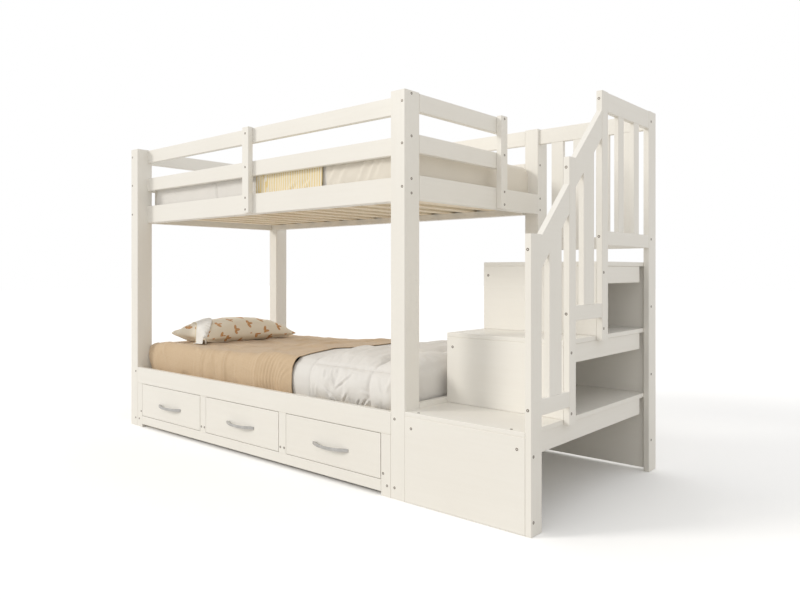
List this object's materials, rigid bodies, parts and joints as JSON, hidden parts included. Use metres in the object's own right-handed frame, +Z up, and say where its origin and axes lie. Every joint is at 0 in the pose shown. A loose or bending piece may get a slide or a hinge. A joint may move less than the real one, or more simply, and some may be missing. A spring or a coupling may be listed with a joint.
{
  "type": "bunk bed with storage stairs",
  "caption": "White painted bunk bed with slatted guard rails, pull-out drawers under the lower bed and a storage staircase with open shelves at its foot end, made up with bedding",
  "frame": {"origin": "on the floor under the middle of the whole object", "axes": "+X runs along the bed from its head end to the stairs, -Y is the front with the drawers, +Z is up"},
  "size_m": [2.592, 1.106, 1.56],
  "materials": {
    "white_paint": "warm white satin paint",
    "bare_pine": "planed, unpainted pine",
    "runner_steel": "zinc plated",
    "handle_metal": "satin nickel",
    "mattress_ticking": "woven ticking",
    "tan_cloth": "plain weave",
    "white_quilt_cloth": "quilted cotton",
    "pillow_cloth": "printed cotton",
    "striped_cloth": "fine stripes",
    "cream_cloth": "creased cotton"
  },
  "bodies": {
    "bed": {"back_guard_rails": "white_paint", "drawer_bay_back_board": "bare_pine", "drawer_bay_sill": "white_paint", "drawer_bay_stiles": "white_paint", "drawer_bearers": "bare_pine", "foot_guard_rails": "white_paint", "front_guard_rails": "white_paint", "guard_uprights": "white_paint", "head_guard_rails": "white_paint", "lower_back_rail": "white_paint", "lower_end_rails": "white_paint", "lower_front_rail": "white_paint", "lower_mattress": "mattress_ticking", "lower_slats": "bare_pine", "pillow": "pillow_cloth", "post_foot_back": "white_paint", "post_foot_front": "white_paint", "post_head_back": "white_paint", "post_head_front": "white_paint", "runner_fixed_members": "runner_steel", "slat_ledgers": "bare_pine", "stair_aprons": "white_paint", "stair_back_panel": "white_paint", "stair_back_slats": "white_paint", "stair_front_panel": "white_paint", "stair_guard_rails": "white_paint", "stair_guard_slats": "white_paint", "stair_hand_rails": "white_paint", "stair_risers": "white_paint", "stair_side_panels": "white_paint", "stair_tread_1": "white_paint", "stair_tread_2": "white_paint", "stair_tread_3": "white_paint", "stair_upright_1": "white_paint", "stair_upright_2": "white_paint", "stair_upright_3": "white_paint", "stair_upright_4": "white_paint", "striped_throw": "striped_cloth", "tan_blanket": "tan_cloth", "upper_cover": "cream_cloth", "upper_end_rails": "white_paint", "upper_mattress": "mattress_ticking", "upper_side_rails": "white_paint", "upper_slats": "bare_pine", "white_quilt": "white_quilt_cloth"},
    "drawer_1": {"drawer_1_front": "white_paint", "drawer_1_box": "bare_pine", "drawer_1_handle": "handle_metal", "runner_drawer_1": "runner_steel"},
    "runner_middle_1": {"runner_middle_1": "runner_steel"},
    "drawer_2": {"drawer_2_front": "white_paint", "drawer_2_box": "bare_pine", "drawer_2_handle": "handle_metal", "runner_drawer_2": "runner_steel"},
    "runner_middle_2": {"runner_middle_2": "runner_steel"},
    "drawer_3": {"drawer_3_front": "white_paint", "drawer_3_box": "bare_pine", "drawer_3_handle": "handle_metal", "runner_drawer_3": "runner_steel"},
    "runner_middle_3": {"runner_middle_3": "runner_steel"}
  },
  "joints": [
    {"name": "drawer_1_slide", "type": "slide", "parent": "bed", "child": "drawer_1", "axis": [0, -1, 0], "range_m": [0, 0.44]},
    {"name": "runner_1_slide", "type": "slide", "parent": "bed", "child": "runner_middle_1", "axis": [0, -1, 0], "range_m": [0, 0.22]},
    {"name": "drawer_2_slide", "type": "slide", "parent": "bed", "child": "drawer_2", "axis": [0, -1, 0], "range_m": [0, 0.44]},
    {"name": "runner_2_slide", "type": "slide", "parent": "bed", "child": "runner_middle_2", "axis": [0, -1, 0], "range_m": [0, 0.22]},
    {"name": "drawer_3_slide", "type": "slide", "parent": "bed", "child": "drawer_3", "axis": [0, -1, 0], "range_m": [0, 0.44]},
    {"name": "runner_3_slide", "type": "slide", "parent": "bed", "child": "runner_middle_3", "axis": [0, -1, 0], "range_m": [0, 0.22]}
  ],
  "couplings": [
    {"joint": "runner_1_slide", "follows": "drawer_1_slide", "ratio": 0.5},
    {"joint": "runner_2_slide", "follows": "drawer_2_slide", "ratio": 0.5},
    {"joint": "runner_3_slide", "follows": "drawer_3_slide", "ratio": 0.5}
  ]
}
